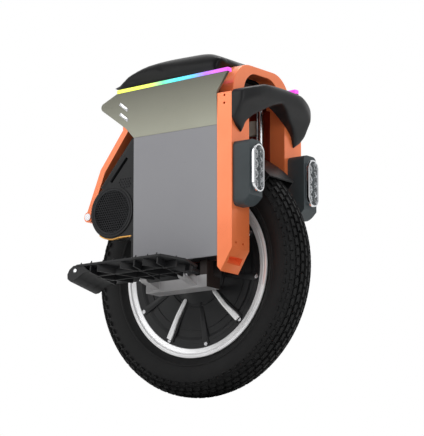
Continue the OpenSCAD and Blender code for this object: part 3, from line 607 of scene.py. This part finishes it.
def swollen(data):
    puff = bpy.data.objects.new("puff", data.copy())
    bpy.context.scene.collection.objects.link(puff)
    cloth = puff.modifiers.new("cloth", "CLOTH")
    cloth.settings.quality = pad["quality"]
    cloth.settings.use_pressure = True
    cloth.settings.uniform_pressure_force = pad["pressure"]
    cloth.settings.effector_weights.gravity = 0.0
    cloth.point_cache.frame_start = 1
    cloth.point_cache.frame_end = pad["frames"]
    for step in range(1, pad["frames"] + 1):
        bpy.context.scene.frame_set(step)
    shaped = bpy.data.meshes.new_from_object(puff.evaluated_get(bpy.context.evaluated_depsgraph_get()))
    moved = [v.co.copy() for v in shaped.vertices]
    bpy.data.objects.remove(puff)
    bpy.context.scene.frame_set(1)
    for vertex, place in zip(data.vertices, moved):
        step = place - vertex.co
        if not padHeld(vertex.co):
            vertex.co += step * min(1.0, pad["swell"] / max(step.length, 0.000001))


def makePad():
    mesh = remeshed("seat_pad", pad["voxel"], pad["smoothing"], padHeld)
    data = bpy.data.meshes.new("padShape")
    mesh.to_mesh(data)
    mesh.free()
    swollen(data)
    shape = bmesh.new()
    shape.from_mesh(data)
    bmesh.ops.subdivide_edges(shape, edges=shape.edges, cuts=1, smooth=0.0, use_grid_fill=True)
    for step in range(pad["lastRounds"]):
        relax(shape, [v for v in shape.verts if not padHeld(v.co)])
    shape.normal_update()
    for vertex in shape.verts:
        away = abs(abs(vertex.co.y) - pad["seamSide"])
        if vertex.normal.z > pad["seamFacing"] and away < 3 * pad["seamWidth"]:
            vertex.co.z -= pad["seamDepth"] * math.exp(-(away / pad["seamWidth"]) ** 2)
        vertex.co.z = min(vertex.co.z, padHigh.z + pad["headroom"])
    piece = newPiece("padTop", shape, "pad_black", "root", ["seat_pad"])
    smoothShade(piece, 60)


# Moulded front bumper

bumper = dict(voxel=0.0024, smoothing=16, heldDepth=0.0012)


def makeBumper():
    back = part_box("front_bumper")[0].x
    mesh = remeshed("front_bumper", bumper["voxel"], bumper["smoothing"],
                    lambda point: point.x < back + bumper["heldDepth"])
    smoothShade(newPiece("bumperShell", mesh, "black_plastic", "root", ["front_bumper"]), 60)


# Speaker grilles: pierced honeycomb discs in a raised ring

grille = dict(cellPitch=0.0056, wall=0.26, thickness=0.0016, faceIn=0.0004, edgeIn=0.0035, ringWidth=0.0042,
              ringRise=0.0012, ringDepth=0.003, ringSlope=0.0012, ringSteps=96)
grilleLow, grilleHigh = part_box("speaker_grilles")
pod = Vector(((grilleLow.x + grilleHigh.x) / 2, 0, (grilleLow.z + grilleHigh.z) / 2))
grilleRadius = (grilleHigh.x - grilleLow.x) / 2


def makeGrilles():
    mesh = bmesh.new()
    pitch = grille["cellPitch"]
    reach = int(grilleRadius / pitch) + 1
    for side in (-1, 1):
        face = side * (grilleHigh.y - grille["faceIn"])
        sheet = bmesh.new()
        for row in range(-reach, reach + 1):
            for column in range(-reach - 1, reach + 2):
                x = (column + 0.5 * (row % 2)) * pitch
                z = row * pitch * math.sqrt(3) / 2
                if math.hypot(x, z) < grilleRadius - grille["edgeIn"]:
                    place = Matrix.Translation((pod.x + x, face, pod.z + z))
                    place = place @ Matrix.Rotation(math.pi / 2, 4, "X")
                    bmesh.ops.create_circle(sheet, cap_ends=True, segments=6, radius=pitch / math.sqrt(3),
                                            matrix=place)
        bmesh.ops.remove_doubles(sheet, verts=sheet.verts, dist=pitch * 0.08)
        cells = list(sheet.faces)
        bmesh.ops.inset_individual(sheet, faces=cells, thickness=pitch * grille["wall"] / 2, depth=0)
        bmesh.ops.delete(sheet, geom=cells, context="FACES")
        lift(sheet, sheet.faces[:], (0, -side * grille["thickness"], 0))
        stampClosed(mesh, sheet)
        ring = bmesh.new()
        inner, outer = grilleRadius - grille["ringWidth"], grilleRadius
        rise, slope, deep = side * grille["ringRise"], grille["ringSlope"], face - side * grille["ringDepth"]
        spinAlongY(ring, [(inner, deep), (inner, face + rise * 0.4), (inner + slope, face + rise),
                          (outer - slope, face + rise), (outer, face + rise * 0.3), (outer, deep)],
                   pod, grille["ringSteps"])
        stampClosed(mesh, ring)
    smoothShade(newPiece("grilleMesh", mesh, "grille_black", "root", ["speaker_grilles"]), 30)


# A short row of vent studs beside each pod's slot
vents = dict(rows=4, columns=5, pitch=0.0064, radius=0.0021, rise=0.0013, sunk=0.0003, face=0.1189,
             frontLimit=-0.1000, start=(-0.1290, 0.4300))


def makeVents():
    mesh = bmesh.new()
    out = vents["face"] + vents["rise"] / 2 - vents["sunk"]
    for side in (-1, 1):
        for row in range(vents["rows"]):
            for column in range(vents["columns"]):
                x = vents["start"][0] + (column + 0.5 * (row % 2)) * vents["pitch"]
                z = vents["start"][1] + row * vents["pitch"] * 0.87
                if x < vents["frontLimit"]:
                    place = Matrix.Translation((x, side * out, z))
                    place = place @ Matrix.Rotation(-side * math.pi / 2, 4, "X")
                    addRod(mesh, vents["radius"], vents["rise"] + 2 * vents["sunk"], place, 6,
                           vents["radius"] * 0.7)
    newPiece("cowlVents", mesh, "grille_black", "root")


# Lamps: four ringed projector cells on a dark panel

lamp = dict(middle=0.0960, cells=4, pitch=0.0205, ringOuter=0.0104, ringInner=0.0088, ringDepth=0.0040,
            ringSteps=28, domeRadius=0.0078, domeRise=0.0042, panelEdge=0.0016, panelBack=0.006,
            panelDepth=0.003, browDrop=0.0046, browTilt=0.25)
lensLow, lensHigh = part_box("lamp_lenses")
ledLow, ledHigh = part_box("lamp_leds")


def alongX(place):
    return Matrix.Translation(place) @ Matrix.Rotation(math.pi / 2, 4, "Y")


def stadium(mesh, centre, half, height, depth, steps=24):
    outline = []
    for step in range(steps):
        turn = math.tau * step / steps
        up = (height - half) * (1 if math.sin(turn) >= 0 else -1)
        outline.append(centre + Vector((0, half * math.cos(turn), up + half * math.sin(turn))))
    lift(mesh, [flatFace(mesh, outline)], (depth, 0, 0))


def makeLamps():
    panels = bmesh.new()
    cells = bmesh.new()
    half = lensHigh.y - lamp["middle"] - lamp["panelEdge"]
    middleZ = (lensLow.z + lensHigh.z) / 2
    height = (lensHigh.z - lensLow.z) / 2 - lamp["panelEdge"]
    inner, outer, deep = lamp["ringInner"], lamp["ringOuter"], lamp["ringDepth"]
    # One cell's ring: radius, depth
    ringOutline = ((inner - 0.0015, 0.0003), (inner, deep), (outer - 0.0004, deep), (outer, deep - 0.0006),
                   (outer, -0.0005))
    for side in (-1, 1):
        centre = Vector((ledLow.x + lamp["panelBack"], side * lamp["middle"], middleZ))
        stadium(panels, centre, half, height, lamp["panelDepth"])
        for number in range(lamp["cells"]):
            up = (number - (lamp["cells"] - 1) / 2) * lamp["pitch"]
            spot = centre + Vector((lamp["panelDepth"], 0, up))
            ring = bmesh.new()
            points = [spot + Vector((x, 0, r)) for r, x in ringOutline]
            addSpun(ring, points, spot, (1, 0, 0), lamp["ringSteps"])
            stampClosed(cells, ring)
            dome = bmesh.ops.create_uvsphere(panels, u_segments=20, v_segments=10, matrix=alongX(spot),
                                             radius=lamp["domeRadius"] * 0.86)["verts"]
            flat = lamp["domeRise"] / lamp["domeRadius"]
            bmesh.ops.scale(panels, verts=dome, vec=(flat, 1, 1), space=Matrix.Translation(-spot))
            # a slim bright brow across each cell
            brow = spot + Vector((deep * 0.7, 0, -lamp["browDrop"]))
            addBox(cells, (0.0012, inner * 1.7, 0.0010),
                   Matrix.Translation(brow) @ Matrix.Rotation(side * lamp["browTilt"], 4, "X"))
    smoothShade(newPiece("lampPanels", panels, "black_metal", "root"), 35)
    smoothShade(newPiece("lampCells", cells, "lamp_cells", "root", ["lamp_leds"]), 30)


makePad()
print("pad made")
makeBumper()
makeGrilles()
makeVents()
makeLamps()
print("front and speakers made")


# Pedals, drawn flat about the hinge line and then tilted like the CAD ones

pedal = dict(top=0.008, skin=0.006, rimWall=0.0045, depth=0.022, tilt=10, hingeZ=0.230, hingeY=0.136,
             studHeight=0.0052, knuckle=0.0095, knuckleGap=0.0088, ribWidth=0.0032, scoopIn=0.018,
             scoopOut=0.101, cheeks=(0.0180, 0.0385, 0.0590, 0.0790, 0.0980), tabEnds=(-0.134, 0.084))
reflector = dict(spot=(-0.1475, 0.1005, -0.0050), radius=0.0048, tip=0.0042, height=0.0040)
# Places of the two hanger knuckles along the hinge
armSpots = (-0.046, 0.048)
# Corners seen from above: along the pedal, out from the hinge
pedalPlan = [(-0.138, 0.0125), (0.088, 0.0125), (0.098, 0.020), (0.098, 0.060), (0.066, 0.102),
             (-0.146, 0.102), (-0.158, 0.092), (-0.160, 0.030)]
# Ribs under the tread: start, end
pedalRibs = [((-0.156, 0.040), (0.096, 0.040)), ((-0.155, 0.072), (0.086, 0.072)),
             ((-0.150, 0.098), (-0.066, 0.014)), ((-0.092, 0.100), (-0.012, 0.014)),
             ((-0.034, 0.100), (0.044, 0.014)), ((0.022, 0.100), (0.094, 0.030)),
             ((-0.110, 0.014), (-0.110, 0.100)), ((0.000, 0.014), (0.000, 0.100)),
             ((0.058, 0.014), (0.058, 0.100))]
# Side view of the scooped rear end: along the pedal, up
scoop = [(-0.132, 0.0075), (-0.154, 0.0060), (-0.163, -0.0010), (-0.167, -0.0110), (-0.165, -0.0210),
         (-0.157, -0.0270), (-0.148, -0.0262), (-0.138, -0.0200), (-0.126, -0.0130), (-0.112, -0.0100)]
studSpots = [(-0.140, 0.094), (-0.112, 0.096), (-0.084, 0.094), (-0.056, 0.096), (-0.028, 0.094),
             (0.000, 0.096), (0.028, 0.094), (0.052, 0.096), (-0.146, 0.070), (-0.100, 0.070), (-0.055, 0.070),
             (-0.010, 0.070), (0.035, 0.070), (0.078, 0.066), (-0.146, 0.044), (-0.078, 0.044), (-0.010, 0.044),
             (0.058, 0.044), (0.088, 0.040), (-0.120, 0.024), (-0.020, 0.024), (0.074, 0.022)]


def pedalFrame(side):
    lean = Matrix.Rotation(math.radians(pedal["tilt"]), 4, "X")
    place = Matrix.Translation((0, pedal["hingeY"], pedal["hingeZ"])) @ lean
    return Matrix.Scale(side, 4, (0, 1, 0)) @ place


def makePedal(side, name):
    mesh = bmesh.new()
    place = pedalFrame(side)
    low = pedal["top"] - pedal["skin"]
    plate = bmesh.new()
    lift(plate, [flatFace(plate, [(x, v, low) for x, v in pedalPlan])], (0, 0, pedal["skin"]))
    bevelAll(plate, 0.0014)
    stampClosed(mesh, plate, place)
    wall = bmesh.new()
    face = flatFace(wall, [(x, v, low + 0.001) for x, v in pedalPlan])
    around = bmesh.ops.inset_region(wall, faces=[face], thickness=pedal["rimWall"])["faces"]
    bmesh.ops.delete(wall, geom=[f for f in wall.faces if f not in around], context="FACES")
    lift(wall, wall.faces[:], (0, 0, -(pedal["depth"] - pedal["skin"] + 0.001)))
    bevelAll(wall, 0.0009, 1)
    stampClosed(mesh, wall, place)
    deep = pedal["depth"] - pedal["skin"] - 0.002
    for start, end in pedalRibs:
        a, b = Vector((*start, 0)), Vector((*end, 0))
        turn = Matrix.Rotation(math.atan2(b.y - a.y, b.x - a.x), 4, "Z")
        middle = Matrix.Translation((a + b) / 2 + Vector((0, 0, low - deep / 2 + 0.0005)))
        rib = bmesh.new()
        addBox(rib, ((b - a).length, pedal["ribWidth"], deep), middle @ turn)
        bevelAll(rib, 0.0005, 1)
        stampClosed(mesh, rib, place)
    rear, front = armSpots
    gap = pedal["knuckleGap"]
    tail, nose = pedal["tabEnds"]
    for armA, armB in ((tail, rear - gap), (rear + gap, front - gap), (front + gap, nose)):
        tab = bmesh.new()
        addBox(tab, (armB - armA, 0.024, 0.009),
               Matrix.Translation(((armA + armB) / 2, 0.0045, pedal["top"] - 0.0053)))
        bevelAll(tab, 0.0020)
        stampClosed(mesh, tab, place)
    barrel = bmesh.new()
    addRod(barrel, pedal["knuckle"], front - rear - 2 * gap, alongX(((rear + front) / 2, 0, 0)), 32)
    bevelAll(barrel, 0.0010, 2, 50)
    stampClosed(mesh, barrel, place)
    # scooped rear end: a curved skin and its cheeks
    skin = bmesh.new()
    rail = [skin.verts.new((x, pedal["scoopIn"], z)) for x, z in scoop]
    edges = [skin.edges.new(pair) for pair in zip(rail, rail[1:])]
    swept = bmesh.ops.extrude_edge_only(skin, edges=edges)["geom"]
    bmesh.ops.translate(skin, verts=vertsOf(swept), vec=(0, pedal["scoopOut"] - pedal["scoopIn"], 0))
    bmesh.ops.recalc_face_normals(skin, faces=skin.faces)
    bmesh.ops.solidify(skin, geom=skin.faces[:], thickness=pedal["ribWidth"])
    stampClosed(mesh, skin, place)
    for out in pedal["cheeks"]:
        cheek = bmesh.new()
        lift(cheek, [flatFace(cheek, [(x, out, z) for x, z in scoop])], (0, pedal["ribWidth"], 0))
        bevelAll(cheek, 0.0006, 1)
        stampClosed(mesh, cheek, place)
    studs = bmesh.new()
    for x, v in studSpots:
        foot = Vector((x, v, pedal["top"]))
        addRod(studs, 0.0034, 0.0020, Matrix.Translation(foot + Vector((0, 0, 0.0007))), 6, 0.0030)
        addRod(studs, 0.0016, pedal["studHeight"], Matrix.Translation(foot + Vector((0, 0, 0.0028))), 8, 0.0011)
    stampClosed(mesh, studs, place)
    node = "pedal_right" if side < 0 else "pedal_left"
    body = node + "_body"
    smoothShade(newPiece(name, mesh, "black_plastic", body, [node]), 30)
    button = bmesh.new()
    spot = Matrix.Translation(reflector["spot"]) @ Matrix.Rotation(-math.pi / 2, 4, "X")
    addRod(button, reflector["radius"], reflector["height"], spot, 24, reflector["tip"])
    bevelAll(button, 0.0008, 2, 40)
    shown = bmesh.new()
    stampClosed(shown, button, place)
    smoothShade(newPiece(name + "Reflector", shown, "chrome_trim", body), 30)


makePedal(-1, "pedalRight")
makePedal(1, "pedalLeft")
print("pedals made")


# Two plain slanted inlays near the tail of each upper cover

inlay = dict(length=0.026, height=0.0062, thickness=0.0012, slant=38, face=0.1225, flare=0.0035, lean=-0.036,
             proud=0.0002, spots=((-0.1130, 0.5960), (-0.1130, 0.5750)))
coverLow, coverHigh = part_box("upper_cover_left")


def makeInlays():
    mesh = bmesh.new()
    for side in (-1, 1):
        for x, z in inlay["spots"]:
            flare = inlay["flare"] * (z - coverLow.z) / (coverHigh.z - coverLow.z)
            out = inlay["face"] + flare + inlay["proud"]
            bar = bmesh.new()
            addBox(bar, (inlay["length"], inlay["thickness"], inlay["height"]), Matrix.Identity(4))
            bevelAll(bar, 0.0004)
            place = (Matrix.Translation((x, side * out, z)) @ Matrix.Rotation(side * inlay["lean"], 4, "X")
                     @ Matrix.Rotation(math.radians(inlay["slant"]), 4, "Y"))
            stampClosed(mesh, bar, place)
    smoothShade(newPiece("coverInlays", mesh, "chrome_trim", "root"), 30)


# Painted shade: a black bar along each cowl's slanted edge fills the shadowed slot there, outside the path of
# the handle arms
slotShadeLip = dict(start=(-0.1700, 0.4290), end=(-0.0870, 0.5254), inside=0.003, outside=0.011, low=0.1005,
           high=0.1175)


def makeSlotShadeLips():
    mesh = bmesh.new()
    a, b = Vector((slotShadeLip["start"][0], 0, slotShadeLip["start"][1])), Vector((slotShadeLip["end"][0], 0, slotShadeLip["end"][1]))
    along = (b - a).normalized()
    away = Vector((-along.z, 0, along.x))
    width = slotShadeLip["inside"] + slotShadeLip["outside"]
    middle = (a + b) / 2 + away * (slotShadeLip["outside"] - slotShadeLip["inside"]) / 2
    for side in (-1, 1):
        bar = bmesh.new()
        addBox(bar, ((b - a).length, slotShadeLip["high"] - slotShadeLip["low"], width), Matrix.Identity(4))
        bevelAll(bar, 0.0024, 3)
        place = Matrix.Translation((middle.x, side * (slotShadeLip["high"] + slotShadeLip["low"]) / 2, middle.z))
        stampClosed(mesh, bar, place @ Matrix.Rotation(-math.atan2(along.z, along.x), 4, "Y"))
    # painted shade: these black bars stand for the shade inside the cowl slots
    smoothShade(newPiece("cowlSlotShadeLips", mesh, "black_plastic", "root"), 30)


makeSlotShadeLips()
makeInlays()
print("inlays made")


# Floor, light and camera

stage = dict(floorSize=9.0, floorDark=(0.80, 0.80, 0.79), floorPale=(0.84, 0.84, 0.83), floorRough=0.8,
             brightSide=1.0, dimSide=0.42, brightWay=(-0.58, 0.79, 0.18))
# Each light: place, size, power
stageLights = {
    "keyLight": ((-1.6, -2.6, 1.7), 1.6, 16.0),
    "fillLight": ((2.6, -1.4, 0.9), 1.8, 18.0),
    "topLight": ((0.2, 0.4, 2.6), 1.4, 30.0),
}


def makeFloor():
    mesh = bmesh.new()
    bmesh.ops.create_grid(mesh, x_segments=2, y_segments=2, size=stage["floorSize"])
    data = bpy.data.meshes.new("floor")
    mesh.to_mesh(data)
    mesh.free()
    floor = bpy.data.objects.new("floor", data)
    bpy.context.scene.collection.objects.link(floor)
    material, wire, place = startMaterial("floor")
    cloud = place.noise(3.0)
    feed(material, {"Base Color": cloud.mix(rgb(stage["floorDark"]), rgb(stage["floorPale"])),
                    "Roughness": stage["floorRough"]})
    shader = material.node_tree.nodes["Principled BSDF"]
    under = wire.make("ShaderNodeNewGeometry")
    under.socket = under.socket.node.outputs["Backfacing"]
    clear = wire.make("ShaderNodeBsdfTransparent")
    output = next(n for n in material.node_tree.nodes if n.type == "OUTPUT_MATERIAL")
    solid = Wire(material.node_tree, shader.outputs[0])
    shown = wire.make("ShaderNodeMixShader", {}, {0: under, 1: solid, 2: clear})
    material.node_tree.links.new(shown.socket, output.inputs["Surface"])
    data.materials.append(material)


def addLight(name, place, aim, size, power):
    light = bpy.data.lights.new(name, "AREA")
    light.size = size
    light.energy = power
    holder = bpy.data.objects.new(name, light)
    bpy.context.scene.collection.objects.link(holder)
    holder.location = place
    holder.rotation_euler = (aim - Vector(place)).to_track_quat("-Z", "Y").to_euler()


def makeLights():
    world = bpy.data.worlds.new("studio")
    bpy.context.scene.world = world
    world.use_nodes = True
    # the room is brightest beyond the object's far left and softer behind the camera's side
    wire = Wire(world.node_tree)
    place = wire.make("ShaderNodeTexCoord")
    bright = wire.make("ShaderNodeVectorMath", {"operation": "DOT_PRODUCT"},
                       {0: place, 1: stage["brightWay"]}, out=1)
    glow = bright.ramp(-0.55, 0.60).mix(rgb([stage["dimSide"]] * 3), rgb([stage["brightSide"]] * 3))
    background = world.node_tree.nodes["Background"]
    world.node_tree.links.new(glow.socket, background.inputs["Color"])
    background.inputs["Strength"].default_value = 1.0
    middle = (cadBox[0] + cadBox[1]) / 2
    for name, (place, size, power) in stageLights.items():
        addLight(name, place, middle, size, power)


view = dict(azimuth=36.15, elevation=-11.07, distance=6.0, lens=242.0, lookForward=0.020, lookUp=0.0205,
            sensorWidth=36.0, farClip=60.0)


def makeCamera():
    camera = bpy.data.cameras.new("camera")
    holder = bpy.data.objects.new("camera", camera)
    bpy.context.scene.collection.objects.link(holder)
    turn = math.radians(view["azimuth"])
    tilt = math.radians(view["elevation"])
    back = Vector((math.sin(turn) * math.cos(tilt), -math.cos(turn) * math.cos(tilt), math.sin(tilt)))
    middle = (cadBox[0] + cadBox[1]) / 2
    target = Vector((view["lookForward"], 0, middle.z + view["lookUp"]))
    holder.location = target + back * view["distance"]
    holder.rotation_euler = (-back).to_track_quat("-Z", "Y").to_euler()
    camera.lens = view["lens"]
    camera.sensor_width = view["sensorWidth"]
    camera.clip_end = view["farClip"]
    bpy.context.scene.camera = holder


makeFloor()
makeLights()
makeCamera()
bpy.context.scene.view_settings.view_transform = "Standard"
print("stage ready")
